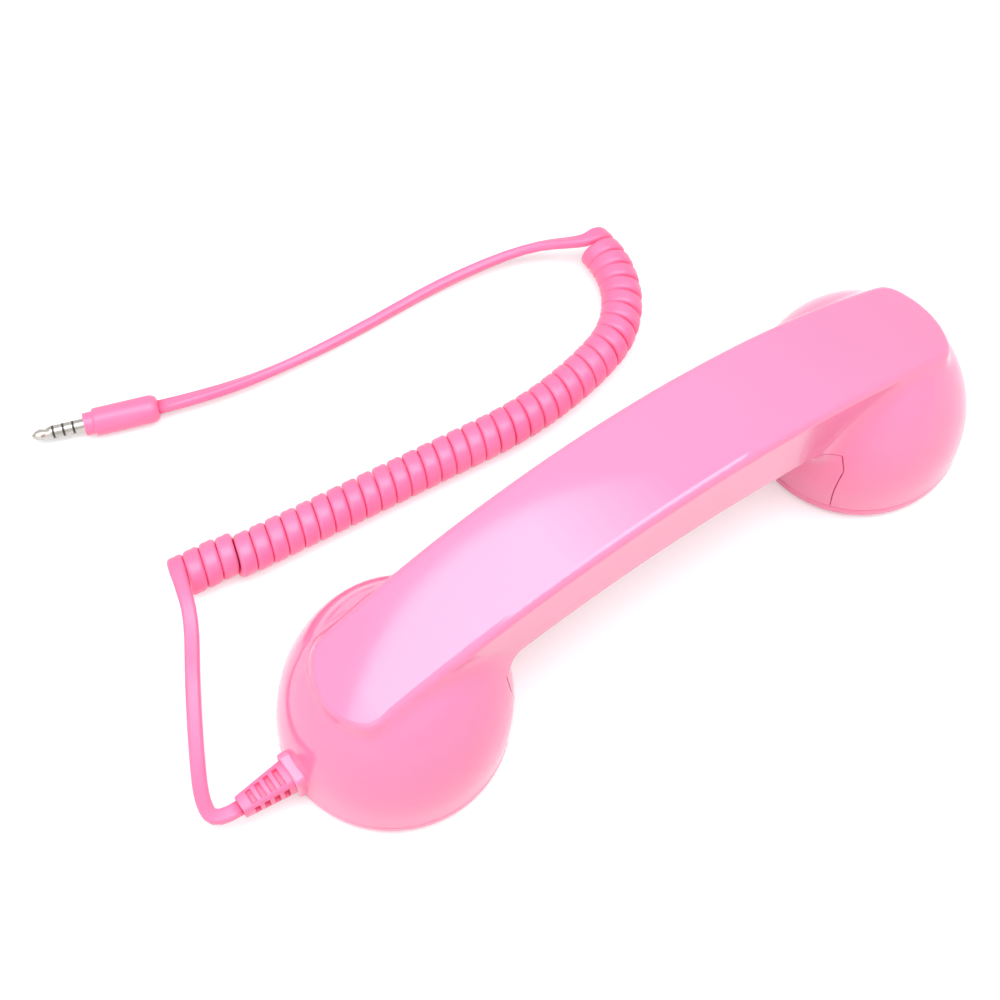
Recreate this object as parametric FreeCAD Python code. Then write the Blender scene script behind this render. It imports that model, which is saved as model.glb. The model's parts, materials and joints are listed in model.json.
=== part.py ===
import FreeCAD, Part
import math
import os
from FreeCAD import Vector as V

# Retro telephone handset with a curly cord and a four-pole jack plug, lying face down.
# Millimetres. +Z is up and the caps stand on Z = 0. +X points to the earpiece end.

# Driving dimensions: casing
cup_pitch = 148.8        # between the cup axes at the parting plane
cup_r = 29.0             # outer radius of cups and caps
cap_h = 5.0              # height of a cap, and of the parting plane
cup_wall_h = 5.0         # straight wall between cap and dome
dome_clear = 1.1         # from the dome to the crease round the back
cup_lean = 0.117         # inward shift of the cup for each millimetre of height
handle_top = 61.7        # highest point of the back
arch_r = 200.0           # radius of the arched back, in side view
handle_th = 27.2         # handle depth
handle_w = 28.2          # handle width at its top
handle_draft = 0.044     # inward lean of each side for each millimetre down
end_r = 18.6             # rounded end of the back, about the cup axis
end_corner_r = 7.0
crease_r = 2.0           # edge round the back
under_r = 4.0            # lower edges of the handle
blend_r = 9.0            # hollow blend between handle and cup
wall = 2.4
seam = 0.25              # visible gap between casing pieces
fit = 0.2                # radial play of loose fits
screw_play = 0.05

# Driving dimensions: inner cover
cover_w = 24.0           # width along the handle
cover_end_w = 35.0       # width on the cups
cover_end_x = 51.5       # reach of the cover on the cups
cover_flare_x = 38.0
lug_x = 57.5             # screw lugs of the cover
lug_z = 24.0
lug_w = 9.0
post_r = 3.5
cover_screw_r = 1.3

# Driving dimensions: caps
cap_floor = 2.4
cap_dish = 1.0           # hollow of the cap face
cap_dish_r = 17.0
cap_edge_r = 3.0
lip_h = 4.0              # spigot above the parting plane
lip_play = 1.2           # between the spigot and the leaning wall of the cup
lip_t = 1.8
hole_r = 1.2             # sound holes: one, six and twelve
hole_pitch = 5.25
hole_rings = 3

# Driving dimensions: receiver and microphone
screen_t = 0.5
gasket_t = 1.0
speaker_r = 18.0
cone_r = 14.2
basket_h = 7.6
flange_t = 1.2
magnet_r = 10.0
magnet_h = 5.0
mic_r = 4.85
mic_h = 6.5
boot_wall = 1.55
socket_wall = 1.5

# Driving dimensions: buttons, board and ballast
button_pitch = 15.0
button_r = 4.5
button_proud = 0.9
button_flange = 1.1      # wider than the button by this much
button_flange_t = 1.2
button_travel = 0.6
pad_z = 38.6             # flat seat of the buttons inside the cover
pad_l = 48.0
pad_w = 15.0
run_gap = 0.3            # between moving and fixed flats
plunger_r = 1.7
plunger_h = 2.8
switch_w = 6.0
switch_h = 3.0
board_z = 45.0
board_t = 1.6
board_l = 62.0
board_w = 16.0
board_screw_in = 4.0     # from the board's ends
board_post_r = 2.6
board_screw_r = 1.0
weight_l = 52.0
weight_w = 14.0
weight_h = 6.0
weight_z = 50.3
weight_screw_in = 6.0    # from the ballast's ends
weight_screw_r = 1.5

# Driving dimensions: cord and plug
cord_d = 3.2
lead_d = 1.6             # inner leads
relief_z = 9.0           # height of the cord outlet
relief_w = 8.0           # square neck in the casing
relief_end = 5.2
relief_l = 13.4
relief_flange = 1.5
relief_seat = 1.5        # room for the curved wall behind the flange
relief_flange_t = 2.0
relief_rows = 4
collar_out = 1.7         # raised frame round the outlet
collar_wall = 1.0
coil_turns = 38
coil_r = 4.45            # centre line of the curls
coil_start = (-99.2, 59.6)
coil_heading = -6.0      # degrees
coil_straight = 88.7
coil_bend_r = (107.0, 27.0)
coil_bend_angle = (22.0, 78.7)   # degrees
coil_run_out = 2.0
coil_step = 1.9          # the first curls lie this far to the left
coil_step_at = (12.5, 17.5)   # stretch of the axis in which they step over
plug_end = (-77.9, 109.6)
plug_heading = 160.6     # degrees
plug_boot_r = 3.8
plug_boot_l = 17.5
plug_neck_r = 3.1
plug_neck_l = 2.6
jack_r = 1.75
jack_l = 14.0
jack_ring_l = 2.1
jack_gap_l = 0.6
jack_tip_l = 5.4
jack_tip = ((0.09, 0), (0.36, 0.55), (0.56, 0.15), (0.8, 0.5), (1.0, 1.25))   # share of length, inset

os.makedirs("parts", exist_ok=True)
cup_x = cup_pitch / 2
dome_z = cap_h + cup_wall_h
arch_z = handle_top - arch_r
under_arch_r = arch_r - handle_th
lip_r = cup_r - wall - lip_play
board_screw_x = board_l / 2 - board_screw_in
weight_screw_x = weight_l / 2 - weight_screw_in


def save(name, shape):
    shape.exportStep("parts/" + name + ".step")
    print(name, "valid" if shape.isValid() else "INVALID", len(shape.Solids), round(shape.Volume, 1))


def cylinder(r, x, y, z0, z1):
    return Part.makeCylinder(r, z1 - z0, V(x, y, z0))


def box(x0, x1, y0, y1, z0, z1):
    return Part.makeBox(x1 - x0, y1 - y0, z1 - z0, V(x0, y0, z0))


def ring(r_out, r_in, x, z0, z1):
    return cylinder(r_out, x, 0, z0, z1).cut(cylinder(r_in, x, 0, z0, z1))


def wire(curves):
    return Part.Wire([c.toShape() for c in curves])


def turned(profile, x):
    # Solid turned about the vertical through (x, 0) from a list of (radius, height).
    points = [V(x + r, 0, z) for r, z in profile]
    face = Part.Face(Part.makePolygon(points + points[:1]))
    return face.revolve(V(x, 0, 0), V(0, 0, 1), 360)


def arch_height(r, x):
    return arch_z + math.sqrt(r * r - x * x)


def dome_height():
    # Highest dome that stays inside the crease round the end of the back.
    heights = []
    for k in range(25):
        turn = math.pi / 48 * k
        x = cup_x + end_r * math.cos(turn)
        y = min(end_r * math.sin(turn), handle_w / 2)
        z = arch_height(arch_r, x) - crease_r
        r = math.hypot(x - cup_x + cup_lean * (z - cap_h), y) - dome_clear
        if r < cup_r:
            heights.append((z - dome_z) / math.sqrt(1 - (r / cup_r) ** 2))
    return min(heights)


dome_h = dome_height()


def below_arch(r):
    # Everything under an arch of radius r.
    half_l = cup_x + 1.5 * cup_r
    half_w = 2 * cup_r
    z_low = -handle_top
    left = V(-half_l, -half_w, arch_height(r, half_l))
    right = V(half_l, -half_w, arch_height(r, half_l))
    low_right = V(half_l, -half_w, z_low)
    low_left = V(-half_l, -half_w, z_low)
    outline = wire([
        Part.Arc(left, V(0, -half_w, arch_height(r, 0)), right),
        Part.LineSegment(right, low_right),
        Part.LineSegment(low_right, low_left),
        Part.LineSegment(low_left, left),
    ])
    return Part.Face(outline).extrude(V(0, 2 * half_w, 0))


def plan_wire(half_w, r, z):
    # Outline of the handle from above: straight sides and round ends.
    cy = half_w - end_corner_r
    cx = cup_x + math.sqrt((r - end_corner_r) ** 2 - cy * cy)
    turn = math.atan2(cy, cx - cup_x)
    mid = (turn + math.pi / 2) / 2
    tx = cup_x + r * math.cos(turn)
    ty = r * math.sin(turn)
    mx = cx + end_corner_r * math.cos(mid)
    my = cy + end_corner_r * math.sin(mid)
    curves = []
    for s in (1, -1):
        side_a = V(-s * cx, s * half_w, z)
        side_b = V(s * cx, s * half_w, z)
        corner_a = V(s * tx, s * ty, z)
        corner_b = V(s * tx, -s * ty, z)
        next_side = V(s * cx, -s * half_w, z)
        curves.append(Part.LineSegment(side_a, side_b))
        curves.append(Part.Arc(side_b, V(s * mx, s * my, z), corner_a))
        curves.append(Part.Arc(corner_a, V(s * (cup_x + r), 0, z), corner_b))
        curves.append(Part.Arc(corner_b, V(s * mx, -s * my, z), next_side))
    return wire(curves)


def handle(inset):
    # Arched bar with drafted sides. A positive inset gives its hollow.
    z_top = handle_top + 2
    z_low = arch_height(under_arch_r, cup_x + end_r) - 2
    outlines = []
    for z in (z_low, z_top):
        draft = handle_draft * (handle_top - z)
        outlines.append(plan_wire(handle_w / 2 - inset - draft, end_r - inset - draft, z))
    bar = Part.makeLoft(outlines, True, True)
    slab = below_arch(arch_r - inset).cut(below_arch(under_arch_r + inset))
    return bar.common(slab)


def cup(side, inset, z_low):
    # Domed cup, leaning inward as it rises. A positive inset gives its hollow.
    apex = dome_z + dome_h - inset
    steps = 9
    levels = [z_low, dome_z]
    levels += [dome_z + (apex - dome_z) * math.sin(math.pi / 2 * 0.72 * k / steps)
               for k in range(1, steps + 1)]
    circles = []
    for z in levels:
        rise = max(0.0, (z - dome_z) / (apex - dome_z))
        r = (cup_r - inset) * math.sqrt(1 - rise * rise)
        x = side * (cup_x - cup_lean * (z - cap_h))
        circles.append(Part.Wire([Part.Circle(V(x, 0, z), V(0, 0, 1), r).toShape()]))
    return Part.makeLoft(circles, True, False).common(below_arch(arch_r - inset - 1))


def edge_points(edge):
    a, b = edge.FirstParameter, edge.LastParameter
    return [edge.valueAt(a + (b - a) * k / 4) for k in range(5)]


def on_arch(edge, r):
    return all(abs(math.hypot(p.x, p.z - arch_z) - r) < 0.02 for p in edge_points(edge))


def on_shell(edge, shells):
    points = [Part.Vertex(p) for p in edge_points(edge)[1:4]]
    return all(min(s.distToShape(p)[0] for s in shells) < 0.02 for p in points)


def casing_form():
    # Outer form of the closed casing, without its caps.
    bar = handle(0)
    bar = bar.makeFillet(crease_r, [e for e in bar.Edges if on_arch(e, arch_r)])
    bar = bar.makeFillet(under_r, [e for e in bar.Edges if on_arch(e, under_arch_r)])
    cups = [cup(s, 0, cap_h) for s in (-1, 1)]
    whole = bar.fuse(cups).removeSplitter()
    cup_shells = [c.Shells[0] for c in cups]
    joins = [e for e in whole.Edges if on_shell(e, [bar.Shells[0]]) and on_shell(e, cup_shells)]
    return whole.makeFillet(blend_r, joins)


def cover_zone(grow):
    # Block that parts the inner cover from the main shell.
    half = cover_w / 2 + grow
    half_end = cover_end_w / 2 + grow
    reach = cover_end_x + grow
    flare = cover_end_x - cup_r / 4
    corners = [(cover_flare_x, half), (flare, half_end), (reach, half_end)]
    corners += [(x, -y) for x, y in reversed(corners)]
    corners += [(-x, -y) for x, y in corners]
    points = [V(x, y, 0) for x, y in corners]
    block = Part.Face(Part.makePolygon(points + points[:1])).extrude(V(0, 0, handle_top))
    return block.common(below_arch(under_arch_r + wall + grow))


def rounded_square(x, w, z, r):
    # Upright square with round corners, across the cord outlet.
    h = w / 2
    k = r * (1 - math.sqrt(0.5))
    side = [(h, r - h), (h, h - r), (h - k, h - k), (h - r, h)]
    curves = []
    for c, s in ((1, 0), (0, 1), (-1, 0), (0, -1)):
        start, bend, middle, end = [V(x, c * u - s * v, z + s * u + c * v) for u, v in side]
        curves.append(Part.LineSegment(start, bend))
        curves.append(Part.Arc(bend, middle, end))
    return wire(curves)


def tube(points, d):
    # Round tube along straight runs joined by tangent arcs.
    curves = []
    radii = []
    start = points[0]
    for a, b, c in zip(points, points[1:], points[2:]):
        u = (a - b).normalize()
        v = (c - b).normalize()
        turn = math.pi - u.getAngle(v)
        cut = 0.45 * min(a.distanceToPoint(b), b.distanceToPoint(c))
        r = cut / math.tan(turn / 2)
        middle = b + (u + v).normalize() * (math.hypot(cut, r) - r)
        curves.append(Part.LineSegment(start, b + u * cut))
        curves.append(Part.Arc(b + u * cut, middle, b + v * cut))
        radii.append(round(r, 1))
        start = b + v * cut
    curves.append(Part.LineSegment(start, points[-1]))
    spine = wire(curves)
    way = points[1] - points[0]
    section = Part.Wire([Part.Circle(points[0], way, d / 2).toShape()])
    shape = spine.makePipeShell([section], True, False)
    fill = shape.Volume / spine.Length / (math.pi * d * d / 4)
    print("tube radii", radii, "volume ratio", round(fill, 3))
    return shape


def coil_axis(s):
    # Point and heading of the curly cord's axis at length s, seen from above.
    x, y = coil_start
    angle = math.radians(coil_heading)
    step_from, step_to = coil_step_at
    part = min(max((s - step_from) / (step_to - step_from), 0), 1)
    aside = coil_step * (1 - part * part * (3 - 2 * part))
    x -= aside * math.sin(angle)
    y += aside * math.cos(angle)
    run = min(s, coil_straight)
    x += run * math.cos(angle)
    y += run * math.sin(angle)
    s -= run
    for r, degrees in zip(coil_bend_r, coil_bend_angle):
        turn = min(s / r, math.radians(degrees))
        x += r * (math.sin(angle + turn) - math.sin(angle))
        y += r * (math.cos(angle) - math.cos(angle + turn))
        angle += turn
        s -= turn * r
    return x + s * math.cos(angle), y + s * math.sin(angle), angle


coil_bend_l = sum(r * math.radians(d) for r, d in zip(coil_bend_r, coil_bend_angle))
coil_length = coil_straight + coil_bend_l + coil_run_out
coil_z = coil_r + cord_d / 2


def coil_point(turns):
    # The curls start and end on top, and pass over the axis towards its left.
    x, y, angle = coil_axis(turns / coil_turns * coil_length)
    phase = 2 * math.pi * turns
    side = coil_r * math.sin(phase)
    return V(x - side * math.sin(angle), y + side * math.cos(angle), coil_z + coil_r * math.cos(phase))


def coil_tangent(turns):
    step = 0.002
    return (coil_point(turns + step) - coil_point(turns - step)).normalize()


def biarc(p0, t0, p1, t1):
    # Two arcs with a common tangent from p0 to p1.
    v = p1 - p0
    k = 2 * (1 - t0.dot(t1))
    b = v.dot(t0 + t1)
    d = (-b + math.sqrt(b * b + k * v.dot(v))) / k
    joint = (p0 + p1 + (t0 - t1) * d) * 0.5
    arcs = []
    for a, t, c in ((p0, t0, joint), (joint, (p1 - t1 * d - joint).normalize(), p1)):
        chord = c - a
        across = t * (chord.dot(chord) / (2 * chord.dot(t)))
        middle_way = (across - chord * 0.5)
        half = chord.Length / 2
        lift = half * math.tan(t.getAngle(chord) / 2)
        arcs.append(Part.Arc(a, a + chord * 0.5 + middle_way.normalize() * lift, c))
    return arcs


def coil():
    quarter = 0.25
    count = int(coil_turns / quarter)
    curves = []
    first, last = coil_point(0), coil_point(coil_turns)
    stub_a = first - coil_tangent(0) * cord_d
    stub_b = last + coil_tangent(coil_turns) * cord_d / 3
    curves.append(Part.LineSegment(stub_a, first))
    for i in range(count):
        a, b = i * quarter, (i + 1) * quarter
        curves += biarc(coil_point(a), coil_tangent(a), coil_point(b), coil_tangent(b))
    curves.append(Part.LineSegment(last, stub_b))
    spine = wire(curves)
    section = Part.Wire([Part.Circle(stub_a, coil_tangent(0), cord_d / 2).toShape()])
    shape = spine.makePipeShell([section], True, False)
    per_turn = 24
    points = [coil_point(i / per_turn) for i in range(coil_turns * per_turn + 1)]
    least = min(p.distanceToPoint(q) for i, p in enumerate(points)
                for q in points[i + per_turn // 2:i + 3 * per_turn // 2 + 1])
    print("curly cord: least gap", round(least - cord_d, 2), "length", round(spine.Length))
    return shape, stub_a, stub_b


def casing():
    form = casing_form()
    hollow = handle(wall)
    for s in (-1, 1):
        hollow = hollow.fuse(cup(s, wall, cap_h - 1))
    skin = form.cut(hollow)
    shell = skin.cut(cover_zone(seam / 2))
    cover = skin.common(cover_zone(-seam / 2))

    top = arch_height(arch_r - wall, lug_x) + wall / 2
    for s in (-1, 1):
        post = cylinder(post_r, s * lug_x, 0, lug_z + wall, top)
        pilot = cylinder(cover_screw_r + screw_play, s * lug_x, 0, lug_z, lug_z + 12)
        shell = shell.fuse(post).cut(pilot)
        lug = box(cup_x - cup_r, lug_x + lug_w / 2, -lug_w / 2, lug_w / 2, lug_z, lug_z + wall)
        if s < 0:
            lug = lug.mirror(V(0, 0, 0), V(1, 0, 0))
        screw_way = cylinder(cover_screw_r + fit, s * lug_x, 0, lug_z - 1, lug_z + wall + 1)
        cover = cover.fuse(lug.common(form)).cut(screw_way)
        weight_top = weight_z + weight_h
        post_top = arch_height(arch_r - wall, weight_screw_x) + wall / 2
        post = cylinder(post_r, s * weight_screw_x, 0, weight_top, post_top)
        pilot = cylinder(weight_screw_r + screw_play, s * weight_screw_x, 0, weight_top - 1, weight_top + 3)
        shell = shell.fuse(post).cut(pilot)

    pad = box(-pad_l / 2, pad_l / 2, -pad_w / 2, pad_w / 2, pad_z - 8, pad_z)
    cover = cover.fuse(pad.common(form))
    for s in (-1, 1):
        x = s * board_screw_x
        boss = cylinder(board_post_r, x, 0, pad_z - 8, board_z).common(form)
        cover = cover.fuse(boss).cut(cylinder(board_screw_r + screw_play, x, 0, pad_z, board_z))
    for x in (-button_pitch, 0, button_pitch):
        cover = cover.cut(cylinder(button_r + run_gap, x, 0, pad_z - 8, pad_z + 1))

    frame_w = relief_w + 2 * collar_wall
    outer_x = -relief_root_x()
    frame_top = relief_top() + collar_wall
    frame = box(outer_x - collar_out, outer_x + wall, -frame_w / 2, frame_w / 2, cap_h, frame_top)
    top_edges = [e for e in frame.Edges if abs(e.CenterOfMass.z - frame_top) < 0.01]
    sides = [e for e in top_edges if abs(e.CenterOfMass.y) > frame_w / 2 - 0.01]
    frame = frame.makeFillet(relief_w / 4, sides)
    rim = [e for e in frame.Edges if abs(e.CenterOfMass.x - outer_x + collar_out) < 0.01
           and e.CenterOfMass.z > cap_h + 0.01]
    frame = frame.makeFillet(0.7 * collar_wall, rim)
    frame = frame.cut(hollow)
    slot = box(outer_x - 2 * collar_out, -cup_x, -relief_w / 2 - seam / 2, relief_w / 2 + seam / 2,
               cap_h - 1, relief_top() + seam / 2)
    shell = shell.fuse(frame).cut(slot)
    return shell, cover


def relief_root_x():
    # Outer face of the cup at the height of the cord outlet.
    return cup_x + cup_r - cup_lean * (relief_z - cap_h)


def relief_top():
    return relief_z + relief_w / 2


def strain_relief():
    root = -relief_root_x() - collar_out
    inside = -relief_root_x() + wall + relief_seat
    tail = root - relief_l
    corner = relief_w / 4
    outline_a = rounded_square(root, relief_w, relief_z, corner)
    outline_b = rounded_square(tail, relief_end, relief_z, corner * relief_end / relief_w)
    body = Part.makeLoft([outline_a, outline_b], True, True)
    step = relief_l / (relief_rows + 1.2)
    for i in range(relief_rows):
        x = root - step * (i + 0.9)
        w = relief_w + (relief_end - relief_w) * (root - x) / relief_l
        for turn in (0, 90, 180, 270):
            slot = box(x - step * 0.26, x + step * 0.26, -w * 0.3, w * 0.3, w * 0.34, w)
            slot.rotate(V(0, 0, 0), V(1, 0, 0), turn)
            slot.translate(V(0, 0, relief_z))
            body = body.cut(slot)
    neck = box(root, inside, -relief_w / 2, relief_w / 2, cap_h, relief_top())
    half = relief_w / 2 + relief_flange
    flange = box(inside, inside + relief_flange_t, -half, half, cap_h, relief_top() + relief_flange)
    return body.fuse([neck, flange]).removeSplitter(), tail, inside + relief_flange_t


def cap(side):
    x = side * cup_x
    floor_z = cap_dish + cap_floor
    profile = [(0, cap_dish), (cap_dish_r, cap_dish), (cap_dish_r + 1.5 * cap_dish, 0)]
    profile += [(cup_r - cap_edge_r * (1 - math.sin(t)), cap_edge_r * (1 - math.cos(t)))
                for t in [math.pi / 2 * k / 6 for k in range(7)]]
    profile += [(cup_r, cap_h - 2 * seam), (cup_r - 2 * seam, cap_h), (lip_r, cap_h)]
    profile += [(lip_r, cap_h + lip_h), (lip_r - lip_t, cap_h + lip_h)]
    profile += [(lip_r - lip_t, floor_z), (0, floor_z)]
    shape = turned(profile, x)
    for k in range(hole_rings):
        r = k * hole_pitch
        count = max(1, 6 * k)
        for a in [2 * math.pi * i / count for i in range(count)]:
            shape = shape.cut(cylinder(hole_r, x + r * math.cos(a), r * math.sin(a), -1, floor_z + 1))
    return shape


def wood_screw(x, y, z, r, length, up):
    # Round-headed screw, with its head seat at z.
    head_h = 1.2 * r
    shank = Part.makeCylinder(r, length, V(x, y, z), V(0, 0, up))
    head = Part.makeCylinder(2 * r, head_h, V(x, y, z), V(0, 0, -up))
    slot = Part.makeBox(5 * r, 0.4 * r, head_h, V(x - 2.5 * r, y - 0.2 * r, z - up * head_h - head_h / 2))
    return shank.fuse(head).cut(slot)


def pair(make, x):
    return Part.makeCompound([make(-x), make(x)])


shell, cover = casing()
relief, relief_tail, relief_inner = strain_relief()
save("main_shell", shell)
save("inner_cover", cover)
save("strain_relief", relief)
save("cover_screws", pair(lambda x: wood_screw(x, 0, lug_z, cover_screw_r, 11, 1), lug_x))

# Caps, receiver and microphone
floor_z = cap_dish + cap_floor
ear_cap = cap(1).fuse(ring(speaker_r + fit + socket_wall, speaker_r + fit, cup_x, floor_z, floor_z + 3.6))
save("earpiece_cap", ear_cap)
mouth_cap = cap(-1).fuse(ring(mic_r + boot_wall + fit + socket_wall, mic_r + boot_wall + fit, -cup_x,
                              floor_z, floor_z + 4.6))
half_notch = relief_w / 2 + relief_flange + fit
notch = box(-cup_x - cup_r, relief_inner + fit, -half_notch, half_notch, cap_h, cap_h + lip_h)
mouth_cap = mouth_cap.cut(notch)
save("mouthpiece_cap", mouth_cap)
save("earpiece_dust_screen", cylinder(cone_r - 2 * fit, cup_x, 0, floor_z, floor_z + screen_t))
save("mouthpiece_dust_screen", cylinder(mic_r + boot_wall, -cup_x, 0, floor_z, floor_z + screen_t))
save("receiver_gasket", ring(speaker_r, cone_r, cup_x, floor_z, floor_z + gasket_t))
frame_z = floor_z + gasket_t
basket_z = frame_z + basket_h
save("receiver_frame", turned([
    (cone_r, frame_z), (speaker_r, frame_z), (speaker_r, frame_z + flange_t),
    (cone_r + 1.6, frame_z + flange_t), (magnet_r + 1.5, basket_z - 1), (magnet_r + 1.5, basket_z),
    (4, basket_z), (4, basket_z - 1.4), (magnet_r, basket_z - 1.4), (cone_r, frame_z + flange_t)], cup_x))
save("receiver_cone", turned([
    (cone_r, frame_z + 0.1), (cone_r, frame_z + 0.6), (4.5, basket_z - 2.2), (0, basket_z - 2.2),
    (0, basket_z - 2.7), (4.3, basket_z - 2.7)], cup_x))
save("receiver_magnet", cylinder(magnet_r, cup_x, 0, basket_z, basket_z + magnet_h))
boot_z = floor_z + screen_t
mic_top = boot_z + mic_h
save("microphone_boot", ring(mic_r + boot_wall, mic_r, -cup_x, boot_z, mic_top - 0.4))
save("microphone_capsule", cylinder(mic_r, -cup_x, 0, boot_z, mic_top))

# Buttons, switches, board and ballast
bodies = []
for name, x in (("volume_down", -button_pitch), ("answer", 0.0), ("volume_up", button_pitch)):
    face_z = arch_height(under_arch_r, x) - button_proud
    seat_z = pad_z + run_gap
    button = cylinder(button_r, x, 0, face_z, seat_z)
    face_edges = [e for e in button.Edges if abs(e.CenterOfMass.z - face_z) < 0.01]
    button = button.makeFillet(button_proud / 2, face_edges)
    flange_top = seat_z + button_flange_t
    button = button.fuse(cylinder(button_r + button_flange, x, 0, seat_z, flange_top))
    save(name + "_button", button)
    save(name + "_plunger", cylinder(plunger_r, x, 0, flange_top, flange_top + plunger_h))
    body = box(x - switch_w / 2, x + switch_w / 2, -switch_w / 2, switch_w / 2, board_z - switch_h, board_z)
    well = flange_top + plunger_h + button_travel + run_gap
    bodies.append(body.cut(cylinder(plunger_r + run_gap, x, 0, board_z - switch_h - 1, well)))
save("switch_bodies", Part.makeCompound(bodies))
board = box(-board_l / 2, board_l / 2, -board_w / 2, board_w / 2, board_z, board_z + board_t)
board_top = board_z + board_t
for x in (-board_screw_x, board_screw_x):
    board = board.cut(cylinder(board_screw_r + fit, x, 0, board_z - 1, board_top + 1))
save("button_board", board)
save("board_screws", pair(lambda x: wood_screw(x, 0, board_top, board_screw_r, 7, -1), board_screw_x))
weight = box(-weight_l / 2, weight_l / 2, -weight_w / 2, weight_w / 2, weight_z, weight_z + weight_h)
for x in (-weight_screw_x, weight_screw_x):
    weight = weight.cut(cylinder(weight_screw_r + fit, x, 0, weight_z - 1, weight_z + weight_h + 1))
save("handle_weight", weight)
weight_screw_l = weight_h + 2
save("weight_screws", pair(lambda x: wood_screw(x, 0, weight_z, weight_screw_r, weight_screw_l, 1),
                            weight_screw_x))

# Inner leads
lead_z = board_z + board_t / 2
board_end = board_l / 2
lead_y = board_w / 2 - lead_d
save("cord_harness", tube([
    V(relief_inner, 0, relief_z), V(-90, 0, relief_z), V(-82, 5, 20), V(-66, 8, 36), V(-50, lead_y, lead_z),
    V(-board_end, lead_y, lead_z)], lead_d))
save("microphone_lead", tube([
    V(-board_end, -lead_y, lead_z), V(-48, -lead_y, lead_z), V(-62, -8, 38), V(-cup_x, -1, 26),
    V(-cup_x, -1, mic_top)], lead_d))
save("receiver_lead", tube([
    V(board_end, lead_y, lead_z), V(48, lead_y, lead_z), V(62, 8, 40), V(cup_x, 5, 30),
    V(cup_x, 5, basket_z + magnet_h)], lead_d))

# Cord
curls, coil_in, coil_out = coil()
entry = coil_tangent(0)
save("cord_coil", curls)
save("cord_lead", tube([
    V(relief_tail, 0, relief_z), V(-124.5, 0, relief_z), V(-125, 7, 5), V(-120.3, 18.2, 2.4),
    V(-111, 36, 2.8), coil_in - entry * 10.5, coil_in], cord_d))
plug_way = V(math.cos(math.radians(plug_heading)), math.sin(math.radians(plug_heading)), 0)
plug_at = V(plug_end[0], plug_end[1], plug_boot_r)
leave = coil_tangent(coil_turns)
save("cord_tail", tube([
    coil_out, coil_out + leave * 3, V(34, 94.5, 5.5), V(8, 100.2, 2.3), V(-22, 100.2, 2.3),
    V(-47, 102.2, 2.5), plug_at - plug_way * 12, plug_at], cord_d))


def along_plug(profile):
    # Turned about the plug's axis: radius, and length from the boot's rear end.
    points = [V(r, 0, l) for r, l in profile]
    shape = Part.Face(Part.makePolygon(points + points[:1])).revolve(V(0, 0, 0), V(0, 0, 1), 360)
    shape.Placement = FreeCAD.Placement(plug_at, FreeCAD.Rotation(V(0, 0, 1), plug_way))
    return shape


# Plug
rear = [(0, 0), (cord_d / 2, 0)]
rear += [(plug_boot_r - 1.7 * (1 - math.sin(t)), 2.2 * (1 - math.cos(t)))
         for t in [math.pi / 2 * k / 5 for k in range(6)]]
jack_at = plug_boot_l + plug_neck_l
rear += [(plug_boot_r, plug_boot_l - 0.6), (plug_boot_r - 0.6, plug_boot_l), (plug_neck_r, plug_boot_l)]
rear += [(plug_neck_r, jack_at), (0, jack_at)]
save("plug_boot", along_plug(rear))


def jack_piece(start, length):
    return along_plug([(0, start), (jack_r, start), (jack_r, start + length), (0, start + length)])


sleeve_l = jack_l - jack_tip_l - 2 * jack_ring_l - 3 * jack_gap_l
save("plug_sleeve", jack_piece(jack_at, sleeve_l))
at = jack_at + sleeve_l
gaps = []
for k in (1, 2):
    gaps.append(jack_piece(at, jack_gap_l))
    save("plug_ring_%d" % k, jack_piece(at + jack_gap_l, jack_ring_l))
    at += jack_gap_l + jack_ring_l
gaps.append(jack_piece(at, jack_gap_l))
save("plug_insulators", Part.makeCompound(gaps))
at += jack_gap_l
end = jack_at + jack_l
tip = [(jack_r - inset, at + jack_tip_l * share) for share, inset in jack_tip]
save("plug_tip", along_plug([(0, at), (jack_r, at)] + tip + [(0, end)]))
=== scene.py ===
import json
import math

import bmesh
import bpy
from bpy.props import FloatProperty, FloatVectorProperty, IntProperty, PointerProperty
from mathutils import Matrix, Vector


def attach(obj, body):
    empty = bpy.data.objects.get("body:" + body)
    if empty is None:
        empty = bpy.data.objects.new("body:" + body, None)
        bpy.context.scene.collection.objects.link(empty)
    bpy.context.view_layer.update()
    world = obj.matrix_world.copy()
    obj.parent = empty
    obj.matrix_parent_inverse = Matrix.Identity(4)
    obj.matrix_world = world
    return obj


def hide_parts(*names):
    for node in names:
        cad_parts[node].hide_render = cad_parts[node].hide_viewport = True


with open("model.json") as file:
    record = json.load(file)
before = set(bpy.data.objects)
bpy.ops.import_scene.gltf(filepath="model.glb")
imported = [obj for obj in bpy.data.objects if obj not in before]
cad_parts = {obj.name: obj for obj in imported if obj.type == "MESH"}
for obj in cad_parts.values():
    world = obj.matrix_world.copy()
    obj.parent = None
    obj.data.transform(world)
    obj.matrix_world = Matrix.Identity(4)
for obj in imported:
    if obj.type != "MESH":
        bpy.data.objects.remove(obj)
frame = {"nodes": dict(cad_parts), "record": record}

bl_info = {
    "name": "Retro Telephone Handset",
    "version": (1, 0, 0),
    "blender": (4, 5, 0),
    "location": "View3D > Sidebar > Handset",
    "description": "Dresses a retro telephone handset with its curly cord and jack plug",
    "category": "Object",
}

MM = 0.001
UP = Vector((0, 0, 1))
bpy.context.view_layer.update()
NODES = frame["nodes"]
MOUNTS = {m["name"]: m for m in frame["record"]["mounts"]}
HANDSET = "handset"

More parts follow.
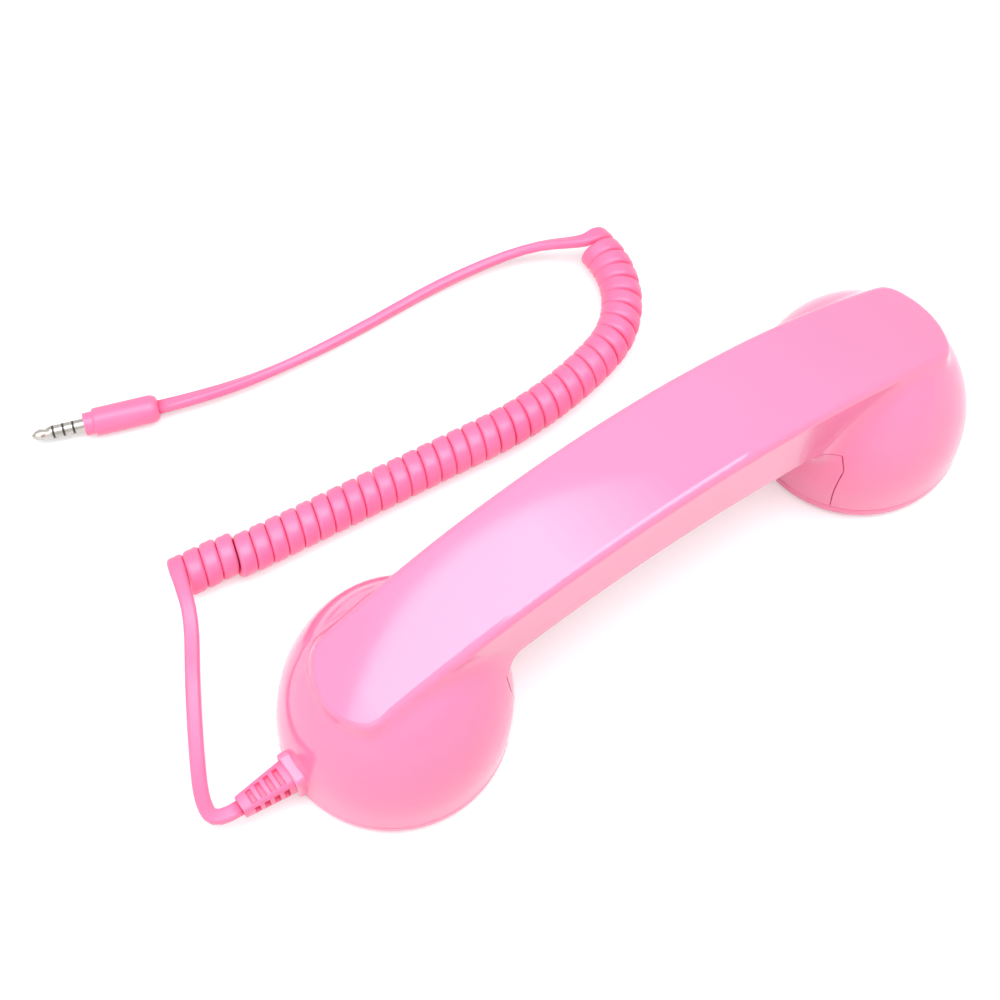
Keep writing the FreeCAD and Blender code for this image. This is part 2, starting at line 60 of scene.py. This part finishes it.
CASING_NODES = ("main_shell", "inner_cover", "earpiece_cap", "mouthpiece_cap")
KEY_NODES = ("answer_button", "volume_up_button", "volume_down_button")
SWITCH_NODES = ("answer_plunger", "volume_up_plunger", "volume_down_plunger", "switch_bodies")
STEEL_NODES = ("cover_screws", "board_screws", "weight_screws", "handle_weight", "receiver_magnet",
               "microphone_capsule")
BLACK_NODES = ("receiver_frame", "receiver_cone")
FOAM_NODES = ("receiver_gasket", "microphone_boot", "earpiece_dust_screen", "mouthpiece_dust_screen")
LEAD_NODES = ("cord_harness", "microphone_lead", "receiver_lead")
JACK_NODES = ("plug_sleeve", "plug_ring_1", "plug_ring_2", "plug_tip")

# Route of the cord's straight stretches, in millimetres: out of the strain relief to the curls, and from
# the curls to the plug.
LEAD_ROUTE = ((-118.03, 0, 9), (-124.5, 0, 9), (-125, 7, 5), (-120.3, 18.2, 2.4), (-111, 36, 2.8))
TAIL_ROUTE = ((34, 94.5, 5.5), (8, 100.2, 2.3), (-22, 100.2, 2.3), (-47, 102.2, 2.5))
# Distances from the first curl, the last curl and the plug at which the cord runs in their direction.
CURL_RUN_IN = (13.7 * MM, 3.2 * MM)
CURL_RUN_OUT = (1.07 * MM, 4.07 * MM)
PLUG_RUN_IN = 12 * MM
# How far the flat cord leans on its edge at each point of the tail: 0 lies flat, 1 stands on edge.
TAIL_TILT = (0, 0.35, 0.6, 0.8, 0.8, 0.6, 0.3, 0)
# Axis of the curls: where it starts, and its bends as radius in millimetres and angle in degrees.
COIL_START = (-99.2 * MM, 59.6 * MM)
COIL_BENDS = ((107.0, 22.0), (27.0, 78.7))
# The first curls lie a little to the left of the rest, and step over within this stretch of the axis.
COIL_STEP = 1.9 * MM
COIL_STEP_AT = (12.5 * MM, 17.5 * MM)
CURL_POINTS = 14                # control points of one curl
TANGENT_STEP = 0.002            # share of a curl over which its direction is read
CORD_SIDES, CORD_ROUNDING = 24, 0.64
RELIEF_SIDES, RELIEF_ROUNDING = 32, 0.5
# Slots of the strain relief, in steps from one row to the next.
SLOT_FIRST = 0.9                # from the casing to the first row
SLOT_ENDS = 1.2                 # plain length at both ends together
SLOT_HALF = 0.26                # half a slot's width
SLOT_MIDDLE = 0.1               # how near a face lies to the middle of its slot
SLOT_SPAN = 0.62                # share of a side that a slot takes
# Grip of the plug.
DOME_LENGTH, DOME_WIDTH = 2.4 * MM, 1.5 * MM
GRIP_EDGE = 0.5 * MM
PIN_BACK = 1.3 * MM             # from the plug's mount back to the grip's neck
EDGE_WIDTH = 0.2 * MM
EDGE_ANGLE = math.radians(35)

TONE_RANGE = (0.35, 0.65)       # stretch of the noise in which one tone turns into the other
BUMP_DEPTH = 0.1 * MM

FLOOR_HALF = 6
FLOOR_DROP = 0.2 * MM
FLOOR_TONE = (0.70, 0.70, 0.70, 1)
WHITE = (1, 1, 1, 1)
GLOW_REACH = (0.2, 1.0)         # the floor's glow grows from the near to the far level between these radii
GLOW = (0.38, 0.72)
# The overhead light is stacked from strips inside one another, so it fades towards both its ends.
KEY_STRIPS = 8
KEY_LEFT, KEY_RIGHT = -1.2, 0.30
KEY_STEP = 0.05                 # each strip is shorter by this much at either end
KEY_DEPTH = 0.34
KEY_HEIGHT, KEY_HEIGHT_STEP = 0.9, 0.004
KEY_TURN = math.radians(-5)
KEY_THROUGH = (-0.3, 0.18)      # the strips' middles lie on a line through this point, with this slope
KEY_SLOPE = -0.087
TOP_PLACE, TOP_SIZE = (0.15, -0.25, 0.95), (0.9, 0.5)
FILL_PLACE, FILL_SIZE = (-1.1, -0.3, 0.6), (0.8, 0.8)
SENSOR = 36                     # camera's sensor width in millimetres


def colour(name, description, value):
    return FloatVectorProperty(name=name, description=description, size=3, subtype="COLOR", min=0, max=1,
                               default=value)


def share(name, description, value):
    return FloatProperty(name=name, description=description, subtype="FACTOR", min=0, max=1, default=value)


def measure(name, description, value, unit="LENGTH"):
    return FloatProperty(name=name, description=description, unit=unit, default=value)


class HandsetFinish(bpy.types.PropertyGroup):
    """Colours and gloss of the handset."""
    casing_colour: colour("Casing", "Gloss plastic of the casing", (1.0, 0.238, 0.435))
    casing_shade: colour("Casing shade", "Faint second tone in the casing", (0.98, 0.224, 0.415))
    cord_colour: colour("Cord", "Sheath of the cord, its relief and its plug", (1.0, 0.188, 0.375))
    cord_shade: colour("Cord shade", "Faint second tone in the sheath", (0.97, 0.168, 0.350))
    casing_gloss: share("Casing roughness", "Mean roughness of the casing", 0.055)
    cord_gloss: share("Cord roughness", "Mean roughness of the sheath", 0.36)


class CordShape(bpy.types.PropertyGroup):
    """Sizes of the cord, its strain relief and its plug, in metres."""
    width: measure("Width", "Width of the flattened cord", 3.8 * MM)
    coil_width: measure("Curl width", "Width of the cord in its curls", 4.3 * MM)
    thickness: measure("Thickness", "Thickness of the flattened cord", 2.8 * MM)
    groove: share("Groove", "Depth of the cord's middle groove, as a share of its half thickness", 0.09)
    turns: IntProperty(name="Curls", description="Number of curls", default=38, min=1, max=100)
    coil_radius: measure("Curl radius", "Centre line of a curl", 4.45 * MM)
    coil_height: measure("Axis height", "Height of the curls' axis over the floor", 6.05 * MM)
    coil_straight: measure("Straight", "Straight stretch of the curls' axis", 88.7 * MM)
    coil_run_out: measure("Run out", "Last straight stretch of the curls' axis", 2.0 * MM)
    coil_heading: measure("Heading", "First heading of the curls' axis", math.radians(-6.0), "ROTATION")
    relief_width: measure("Relief width", "Strain relief at the casing", 8.0 * MM)
    relief_end: measure("Relief end", "Strain relief at its tail", 5.2 * MM)
    relief_length: measure("Relief length", "Strain relief outside the casing", 13.4 * MM)
    relief_root: measure("Relief root", "Strain relief inside the casing", 3.5 * MM)
    relief_rows: IntProperty(name="Slot rows", description="Rows of slots in the strain relief", default=4,
                             min=1)
    slot_depth: measure("Slot depth", "Depth of the strain relief's slots", 1.6 * MM)
    boot_length: measure("Boot length", "Length of the plug's grip", 17.5 * MM)
    boot_radius: measure("Boot radius", "Radius of the plug's grip", 3.8 * MM)
    neck_length: measure("Neck length", "Narrow neck of the plug's grip", 2.6 * MM)
    neck_radius: measure("Neck radius", "Radius of that neck", 3.1 * MM)


class StageSettings(bpy.types.PropertyGroup):
    """Camera and light."""
    azimuth: measure("Azimuth", "Camera's turn about the vertical", -0.630, "ROTATION")
    elevation: measure("Elevation", "Camera's height angle", 1.103, "ROTATION")
    roll: measure("Roll", "Camera's turn about its own axis", 0.019, "ROTATION")
    distance: measure("Distance", "Camera's distance from its aim", 0.44068)
    aim: FloatVectorProperty(name="Aim", description="Point that the camera looks at", size=3, unit="LENGTH",
                             default=(-0.02366, 0.02670, 0.02143))
    lens: measure("Lens", "Focal length", 62.96, "CAMERA")
    key_power: measure("Key", "Power of the long overhead light", 6.5, "POWER")
    top_power: measure("Top", "Power of the light over the near side", 7.8, "POWER")
    fill_power: measure("Fill", "Power of the side light", 2.6, "POWER")
    sky: FloatProperty(name="Sky", description="Light from all round", default=0.36, min=0)


# Materials

class Nodes:
    """Short hand for the node tree of one material."""

    def __init__(self, name):
        self.material = bpy.data.materials.new(name)
        self.material.use_nodes = True
        self.tree = self.material.node_tree
        self.shader = self.tree.nodes["Principled BSDF"]
        self.place = self.tree.nodes.new("ShaderNodeTexCoord").outputs["Object"]

    def link(self, a, b):
        self.tree.links.new(a, b)

    def noise(self, scale, detail=2.0):
        node = self.tree.nodes.new("ShaderNodeTexNoise")
        node.inputs["Scale"].default_value = scale
        node.inputs["Detail"].default_value = detail
        self.link(self.place, node.inputs["Vector"])
        return node.outputs["Fac"]

    def tones(self, fac, low, high):
        node = self.tree.nodes.new("ShaderNodeValToRGB")
        ends = node.color_ramp.elements
        ends[0].position, ends[1].position = TONE_RANGE
        ends[0].color, ends[1].color = (*low, 1), (*high, 1)
        self.link(fac, node.inputs["Fac"])
        self.link(node.outputs["Color"], self.shader.inputs["Base Color"])

    def roughness(self, fac, low, high):
        node = self.tree.nodes.new("ShaderNodeMapRange")
        node.inputs["To Min"].default_value = low
        node.inputs["To Max"].default_value = high
        self.link(fac, node.inputs["Value"])
        self.link(node.outputs["Result"], self.shader.inputs["Roughness"])

    def bump(self, fac, strength):
        node = self.tree.nodes.new("ShaderNodeBump")
        node.inputs["Strength"].default_value = strength
        node.inputs["Distance"].default_value = BUMP_DEPTH
        self.link(fac, node.inputs["Height"])
        self.link(node.outputs["Normal"], self.shader.inputs["Normal"])

    def set(self, **sockets):
        for socket, value in sockets.items():
            self.shader.inputs[socket.replace("_", " ")].default_value = value


def gloss_casing():
    finish = bpy.context.scene.handset_finish
    made = Nodes("pink_gloss_casing")
    made.tones(made.noise(14), finish.casing_shade, finish.casing_colour)
    made.roughness(made.noise(55, 4), finish.casing_gloss * 0.8, finish.casing_gloss * 1.2)
    made.bump(made.noise(420), 0.02)
    made.set(IOR=1.52)
    return made.material


def cord_sheath():
    finish = bpy.context.scene.handset_finish
    made = Nodes("pink_cord_sheath")
    made.tones(made.noise(60, 3), finish.cord_shade, finish.cord_colour)
    made.roughness(made.noise(240, 4), finish.cord_gloss * 0.85, finish.cord_gloss * 1.15)
    made.bump(made.noise(1800, 3), 0.05)
    made.set(IOR=1.5)
    return made.material


def key_plastic():
    finish = bpy.context.scene.handset_finish
    made = Nodes("pink_key_plastic")
    made.tones(made.noise(90), finish.casing_shade, finish.casing_colour)
    made.roughness(made.noise(400, 4), 0.24, 0.32)
    made.bump(made.noise(2500), 0.06)
    return made.material


def plain_finish(name, low, high, rough, scale, metallic=0.0, bump=0.08):
    made = Nodes(name)
    made.tones(made.noise(scale, 3), low, high)
    made.roughness(made.noise(scale * 2, 4), rough * 0.8, rough * 1.2)
    made.bump(made.noise(scale * 4, 3), bump)
    made.set(Metallic=metallic)
    return made.material


def dress(material, *names):
    for name in names:
        data = NODES[name].data
        data.materials.clear()
        data.materials.append(material)


# Shapes

def new_piece(name, bm, material):
    data = bpy.data.meshes.new(name)
    bm.to_mesh(data)
    bm.free()
    for face in data.polygons:
        face.use_smooth = True
    piece = bpy.data.objects.new(name, data)
    bpy.context.scene.collection.objects.link(piece)
    data.materials.append(material)
    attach(piece, HANDSET)
    return piece


def round_edges(piece):
    bevel = piece.modifiers.new("edges", "BEVEL")
    bevel.width = EDGE_WIDTH
    bevel.segments = 2
    bevel.limit_method = "ANGLE"
    bevel.angle_limit = EDGE_ANGLE
    bevel.harden_normals = True


def spun(profile, start, way, steps=48):
    # Closed shape turned about an axis, from (radius, length along the axis) pairs.
    bm = bmesh.new()
    corners = [bm.verts.new((r, 0, l)) for r, l in profile]
    edges = [bm.edges.new(pair) for pair in zip(corners, corners[1:])]
    bmesh.ops.spin(bm, geom=corners + edges, cent=(0, 0, 0), axis=UP, angle=2 * math.pi, steps=steps,
                   use_merge=True)
    bmesh.ops.remove_doubles(bm, verts=bm.verts, dist=1e-6)
    bmesh.ops.recalc_face_normals(bm, faces=bm.faces)
    turn = UP.rotation_difference(way).to_matrix().to_4x4()
    bmesh.ops.transform(bm, matrix=Matrix.Translation(start) @ turn, verts=bm.verts)
    return bm


def arc(centre_r, centre_l, radius_r, radius_l, first, last, steps):
    # Stretch of an ellipse in a turned profile, between two angles in degrees.
    angles = [math.radians(first + (last - first) * k / steps) for k in range(steps + 1)]
    return [(centre_r + radius_r * math.cos(a), centre_l + radius_l * math.sin(a)) for a in angles]


def rolled(rings, sides, power, groove=0.0):
    # Tube through rings of (place, across, out), each direction as long as half the section there: a grid
    # is rolled up, and its seam and ends are closed. A higher power rounds the section, a low one squares it.
    bm = bmesh.new()
    last = len(rings) - 1
    grid = bmesh.ops.create_grid(bm, x_segments=last, y_segments=sides, size=1)["verts"]
    for v in grid:
        place, across, out = rings[round((v.co.x + 1) / 2 * last)]
        a = math.pi * (v.co.y + 1)
        c, s = math.cos(a), math.sin(a)
        u = math.copysign(abs(c) ** power, c)
        h = math.copysign(abs(s) ** power, s) * (1 - groove * (abs(c) < 0.01))
        v.co = place + across * u + out * h
    bmesh.ops.remove_doubles(bm, verts=bm.verts, dist=1e-7)
    bmesh.ops.holes_fill(bm, edges=bm.edges, sides=sides)
    bmesh.ops.recalc_face_normals(bm, faces=bm.faces)
    return bm


# Cord

def coil_axis(s):
    # Place and heading of the curls' axis at length s, seen from above.
    shape = bpy.context.scene.cord_shape
    x, y = COIL_START
    angle = shape.coil_heading
    step_from, step_to = COIL_STEP_AT
    part = min(max((s - step_from) / (step_to - step_from), 0), 1)
    aside = COIL_STEP * (1 - part * part * (3 - 2 * part))
    x -= aside * math.sin(angle)
    y += aside * math.cos(angle)
    run = min(s, shape.coil_straight)
    x += run * math.cos(angle)
    y += run * math.sin(angle)
    s -= run
    for r, degrees in COIL_BENDS:
        r *= MM
        turn = min(s / r, math.radians(degrees))
        x += r * (math.sin(angle + turn) - math.sin(angle))
        y += r * (math.cos(angle) - math.cos(angle + turn))
        angle += turn
        s -= turn * r
    return x + s * math.cos(angle), y + s * math.sin(angle), angle


def curl_point(turns):
    # Point of the helix and its outward direction. It starts on top and runs to the left of the axis.
    shape = bpy.context.scene.cord_shape
    bends = sum(r * MM * math.radians(d) for r, d in COIL_BENDS)
    length = shape.coil_straight + bends + shape.coil_run_out
    x, y, angle = coil_axis(turns / shape.turns * length)
    phase = 2 * math.pi * turns
    side = math.sin(phase)
    out = Vector((-side * math.sin(angle), side * math.cos(angle), math.cos(phase)))
    return Vector((x, y, shape.coil_height)) + out * shape.coil_radius, out


def curl_way(turns):
    # Direction of the helix.
    return (curl_point(turns + TANGENT_STEP)[0] - curl_point(turns - TANGENT_STEP)[0]).normalized()


def cord_controls(plug_rear, plug_way):
    # Control points of the whole cord, each with the direction that its flat side faces and its width.
    shape = bpy.context.scene.cord_shape
    plain = shape.width
    first, last = curl_point(0)[0], curl_point(shape.turns)[0]
    lead = [Vector(p) * MM for p in LEAD_ROUTE]
    lead += [first - curl_way(0) * run for run in CURL_RUN_IN]
    tail = [last + curl_way(shape.turns) * run for run in CURL_RUN_OUT]
    tail += [Vector(p) * MM for p in TAIL_ROUTE]
    tail += [plug_rear - plug_way * PLUG_RUN_IN, plug_rear]
    edge_on = plug_way.cross(UP)
    controls = [(p, UP, plain) for p in lead]
    controls += [(*curl_point(k / CURL_POINTS), shape.coil_width) for k in range(shape.turns * CURL_POINTS + 1)]
    controls += [(p, UP.lerp(edge_on, tilt), plain) for p, tilt in zip(tail, TAIL_TILT)]
    return controls


def spline_path(points):
    # Points read from a smooth spline that has the given control points.
    curve = bpy.data.curves.new("cord_route", "CURVE")
    curve.dimensions = "3D"
    curve.resolution_u = 4
    spline = curve.splines.new("NURBS")
    spline.points.add(len(points) - 1)
    for control, p in zip(spline.points, points):
        control.co = (*p, 1)
    spline.order_u = 3
    spline.use_endpoint_u = True
    carrier = bpy.data.objects.new("cord_route", curve)
    bpy.context.scene.collection.objects.link(carrier)
    line = bpy.data.meshes.new_from_object(carrier)
    path = [v.co.copy() for v in line.vertices]
    bpy.data.objects.remove(carrier)
    bpy.data.curves.remove(curve)
    bpy.data.meshes.remove(line)
    return path


def flat_side(controls, part):
    # Direction of the cord's flat side, and its width, at a share of the way along its spline. The spline
    # has one stretch from each middle between two controls to the next middle.
    at = part * (len(controls) - 2) + 0.5
    at = min(max(at, 0), len(controls) - 1.001)
    k = int(at)
    (_, out, width), (_, next_out, next_width) = controls[k:k + 2]
    return out.lerp(next_out, at - k), width + (next_width - width) * (at - k)


def cord_rings(path, controls, thickness):
    rings = []
    last = len(path) - 1
    for i, place in enumerate(path):
        way = (path[min(i + 1, last)] - path[max(i - 1, 0)]).normalized()
        out, width = flat_side(controls, i / last)
        out = (out - way * out.dot(way)).normalized()
        rings.append((place, way.cross(out) * width / 2, out * thickness / 2))
    return rings


def relief_body():
    # Tapered square sleeve with rows of slots on its four sides.
    shape = bpy.context.scene.cord_shape
    start = Vector(LEAD_ROUTE[0]) * MM + Vector((shape.relief_length, 0, 0))
    step = shape.relief_length / (shape.relief_rows + SLOT_ENDS)
    slots = [step * (i + SLOT_FIRST) for i in range(shape.relief_rows)]
    stations = [-shape.relief_root, 0]
    for middle in slots:
        stations += [middle - step * SLOT_HALF, middle + step * SLOT_HALF]
    stations.append(shape.relief_length)
    rings = []
    for l in stations:
        taper = max(l, 0) / shape.relief_length
        half = (shape.relief_width * (1 - taper) + shape.relief_end * taper) / 2
        rings.append((start - Vector((l, 0, 0)), Vector((0, half, 0)), Vector((0, 0, half))))
    bm = rolled(rings, RELIEF_SIDES, RELIEF_ROUNDING)
    cuts = []
    for face in bm.faces:
        middle = face.calc_center_median() - start
        deep = any(abs(-middle.x - l) < step * SLOT_MIDDLE for l in slots)
        narrow, wide = sorted((abs(middle.y), abs(middle.z)))
        if deep and narrow < SLOT_SPAN * wide:
            cuts.append(face)
    bmesh.ops.inset_region(bm, faces=cuts, thickness=0, depth=-shape.slot_depth, use_boundary=True)
    return bm


def boot_profile():
    # Grip of the plug: a domed rear end, a straight barrel and a narrow neck.
    shape = bpy.context.scene.cord_shape
    r, l = shape.boot_radius, shape.boot_length
    neck_end = l + shape.neck_length
    profile = [(0, 0)] + arc(r - DOME_WIDTH, DOME_LENGTH, DOME_WIDTH, DOME_LENGTH, -90, 0, 8)
    profile += arc(r - GRIP_EDGE, l - GRIP_EDGE, GRIP_EDGE, GRIP_EDGE, 0, 90, 4)
    profile += [(shape.neck_radius, l), (shape.neck_radius, neck_end), (0, neck_end)]
    return profile


def plug_axis():
    # Rear end of the plug's grip, and the way that the plug points.
    shape = bpy.context.scene.cord_shape
    pin = MOUNTS["jack_pin"]
    way = Vector(pin["axis"]).normalized()
    back = shape.boot_length + shape.neck_length + PIN_BACK
    return Vector(pin["pos_m"]) - way * back, way


class HANDSET_OT_casing(bpy.types.Operator):
    """Give the casing its gloss plastic."""
    bl_idname = "handset.casing"
    bl_label = "Casing"

    def execute(self, context):
        dress(gloss_casing(), *CASING_NODES)
        return {"FINISHED"}


class HANDSET_OT_keys(bpy.types.Operator):
    """Finish the keys and their switches."""
    bl_idname = "handset.keys"
    bl_label = "Keys"

    def execute(self, context):
        dress(key_plastic(), *KEY_NODES)
        black = plain_finish("switch_black", (0.03, 0.03, 0.03), (0.05, 0.05, 0.05), 0.45, 400)
        dress(black, *SWITCH_NODES)
        return {"FINISHED"}


class HANDSET_OT_inner_works(bpy.types.Operator):
    """Finish the receiver, the microphone, the board, the ballast and the inner leads."""
    bl_idname = "handset.inner_works"
    bl_label = "Inner works"

    def execute(self, context):
        steel = plain_finish("inner_steel", (0.50, 0.50, 0.52), (0.62, 0.62, 0.64), 0.35, 250, metallic=1.0)
        dress(steel, *STEEL_NODES)
        black = plain_finish("receiver_black", (0.04, 0.04, 0.045), (0.07, 0.07, 0.075), 0.5, 300)
        dress(black, *BLACK_NODES)
        foam = plain_finish("dark_foam", (0.03, 0.03, 0.03), (0.09, 0.09, 0.09), 0.9, 900, bump=0.5)
        dress(foam, *FOAM_NODES)
        lacquer = plain_finish("board_lacquer", (0.02, 0.18, 0.07), (0.03, 0.25, 0.10), 0.3, 200)
        dress(lacquer, "button_board")
        sheath = plain_finish("lead_sheath", (0.55, 0.05, 0.05), (0.65, 0.08, 0.07), 0.4, 500)
        dress(sheath, *LEAD_NODES)
        return {"FINISHED"}


class HANDSET_OT_cord(bpy.types.Operator):
    """Lay the flattened cord with its curls, its strain relief and its plug."""
    bl_idname = "handset.cord"
    bl_label = "Cord"

    def execute(self, context):
        shape = context.scene.cord_shape
        rear, way = plug_axis()
        controls = cord_controls(rear, way)
        path = spline_path([control[0] for control in controls])
        sheath = cord_sheath()
        tube = rolled(cord_rings(path, controls, shape.thickness), CORD_SIDES, CORD_ROUNDING, shape.groove)
        cord = new_piece("curly_cord", tube, sheath)
        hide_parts("cord_lead", "cord_coil", "cord_tail")
        relief = new_piece("slotted_strain_relief", relief_body(), sheath)
        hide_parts("strain_relief")
        round_edges(relief)
        boot = new_piece("plug_grip", spun(boot_profile(), rear, way), sheath)
        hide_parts("plug_boot")
        round_edges(boot)
        nickel = plain_finish("plug_nickel", (0.42, 0.40, 0.37), (0.52, 0.495, 0.46), 0.27, 300, metallic=1.0,
                              bump=0.03)
        dress(nickel, *JACK_NODES)
        black = plain_finish("plug_black", (0.015, 0.015, 0.015), (0.03, 0.03, 0.03), 0.4, 500)
        dress(black, "plug_insulators")
        return {"FINISHED"}


# Stage

def seen_rays(tree):
    # 1 where the camera looks, straight, in a mirror or through glass, and 0 for the rays that carry light.
    path = tree.nodes.new("ShaderNodeLightPath")
    seen = path.outputs["Is Camera Ray"]
    for kind in ("Is Glossy Ray", "Is Transmission Ray"):
        either = tree.nodes.new("ShaderNodeMath")
        either.operation = "MAXIMUM"
        tree.links.new(seen, either.inputs[0])
        tree.links.new(path.outputs[kind], either.inputs[1])
        seen = either.outputs["Value"]
    return seen


def white_floor():
    # White paper that keeps the shadow near the object and brightens to plain white farther out.
    made = Nodes("white_floor")
    made.set(Base_Color=FLOOR_TONE, Roughness=0.6, Specular_IOR_Level=0.2, Emission_Color=WHITE)
    reach = made.tree.nodes.new("ShaderNodeVectorMath")
    reach.operation = "LENGTH"
    made.link(made.place, reach.inputs[0])
    glow = made.tree.nodes.new("ShaderNodeMapRange")
    glow.interpolation_type = "SMOOTHSTEP"
    for socket, value in zip(("From Min", "From Max", "To Min", "To Max"), GLOW_REACH + GLOW):
        glow.inputs[socket].default_value = value
    made.link(reach.outputs["Value"], glow.inputs["Value"])
    level = made.tree.nodes.new("ShaderNodeMath")
    level.operation = "MULTIPLY"
    made.link(seen_rays(made.tree), level.inputs[0])
    made.link(glow.outputs["Result"], level.inputs[1])
    made.link(level.outputs["Value"], made.shader.inputs["Emission Strength"])
    return made.material


def white_sky(strength):
    # Even light from all round, which is plain white to look at.
    world = bpy.data.worlds.new("white_sky")
    world.use_nodes = True
    tree = world.node_tree
    level = tree.nodes.new("ShaderNodeMapRange")
    level.inputs["To Min"].default_value = strength
    level.inputs["To Max"].default_value = 1
    tree.links.new(seen_rays(tree), level.inputs["Value"])
    background = tree.nodes["Background"]
    background.inputs["Color"].default_value = WHITE
    tree.links.new(level.outputs["Result"], background.inputs["Strength"])
    return world


def lay_floor(scene):
    bm = bmesh.new()
    bmesh.ops.create_grid(bm, x_segments=1, y_segments=1, size=FLOOR_HALF)
    data = bpy.data.meshes.new("floor")
    bm.to_mesh(data)
    bm.free()
    floor = bpy.data.objects.new("floor", data)
    scene.collection.objects.link(floor)
    floor.location.z = -FLOOR_DROP
    data.materials.append(white_floor())


def soft_light(name, place, turn, size, power):
    # Rectangular light that shines down, turned about the vertical.
    data = bpy.data.lights.new(name, "AREA")
    data.shape = "RECTANGLE"
    data.size, data.size_y = size
    data.energy = power
    lamp = bpy.data.objects.new(name, data)
    bpy.context.scene.collection.objects.link(lamp)
    lamp.location = place
    lamp.rotation_euler = (0, 0, turn)
    return lamp


def hang_lights(stage):
    ends = [(KEY_LEFT + KEY_STEP * k, KEY_RIGHT - KEY_STEP * k) for k in range(KEY_STRIPS)]
    whole = sum(right - left for left, right in ends)
    for k, (left, right) in enumerate(ends):
        middle = (left + right) / 2
        y = KEY_THROUGH[1] + KEY_SLOPE * (middle - KEY_THROUGH[0])
        place = (middle, y, KEY_HEIGHT + KEY_HEIGHT_STEP * k)
        power = stage.key_power * (right - left) / whole
        soft_light("key_strip_%d" % (k + 1), place, KEY_TURN, (right - left, KEY_DEPTH), power)
    soft_light("top_near", TOP_PLACE, 0, TOP_SIZE, stage.top_power)
    fill = soft_light("fill_side", FILL_PLACE, 0, FILL_SIZE, stage.fill_power)
    fill.rotation_euler = (-fill.location).to_track_quat("-Z", "Y").to_euler()


def set_camera(scene, stage):
    data = bpy.data.cameras.new("camera")
    data.lens = stage.lens
    data.sensor_width = SENSOR
    camera = bpy.data.objects.new("camera", data)
    scene.collection.objects.link(camera)
    a, e = stage.azimuth, stage.elevation
    back = Vector((math.sin(a) * math.cos(e), -math.cos(a) * math.cos(e), math.sin(e)))
    right = UP.cross(back).normalized()
    up = back.cross(right)
    c, s = math.cos(stage.roll), math.sin(stage.roll)
    right, up = right * c + up * s, up * c - right * s
    turn = Matrix((right, up, back)).transposed().to_4x4()
    camera.matrix_world = Matrix.Translation(Vector(stage.aim) + back * stage.distance) @ turn
    scene.camera = camera


class HANDSET_OT_stage(bpy.types.Operator):
    """Set the floor, the soft light and the camera."""
    bl_idname = "handset.stage"
    bl_label = "Stage"

    def execute(self, context):
        scene = context.scene
        stage = scene.stage_settings
        scene.view_settings.view_transform = "Standard"
        lay_floor(scene)
        scene.world = white_sky(stage.sky)
        hang_lights(stage)
        set_camera(scene, stage)
        return {"FINISHED"}


class HANDSET_PT_panel(bpy.types.Panel):
    """Buttons that dress the handset."""
    bl_idname = "HANDSET_PT_panel"
    bl_label = "Handset"
    bl_space_type = "VIEW_3D"
    bl_region_type = "UI"
    bl_category = "Handset"

    def draw(self, context):
        for operator in OPERATORS:
            self.layout.operator(operator.bl_idname)
        for group in ("handset_finish", "cord_shape", "stage_settings"):
            box = self.layout.box()
            settings = getattr(context.scene, group)
            for name in settings.__annotations__:
                box.prop(settings, name)


OPERATORS = (HANDSET_OT_casing, HANDSET_OT_keys, HANDSET_OT_inner_works, HANDSET_OT_cord, HANDSET_OT_stage)
CLASSES = (HandsetFinish, CordShape, StageSettings, *OPERATORS, HANDSET_PT_panel)


def register():
    for item in CLASSES:
        bpy.utils.register_class(item)
    bpy.types.Scene.handset_finish = PointerProperty(type=HandsetFinish)
    bpy.types.Scene.cord_shape = PointerProperty(type=CordShape)
    bpy.types.Scene.stage_settings = PointerProperty(type=StageSettings)


def unregister():
    del bpy.types.Scene.handset_finish
    del bpy.types.Scene.cord_shape
    del bpy.types.Scene.stage_settings
    for item in reversed(CLASSES):
        bpy.utils.unregister_class(item)


def main():
    register()
    bpy.ops.handset.casing()
    bpy.ops.handset.keys()
    bpy.ops.handset.inner_works()
    bpy.ops.handset.cord()
    bpy.ops.handset.stage()


if __name__ == "__main__":
    main()
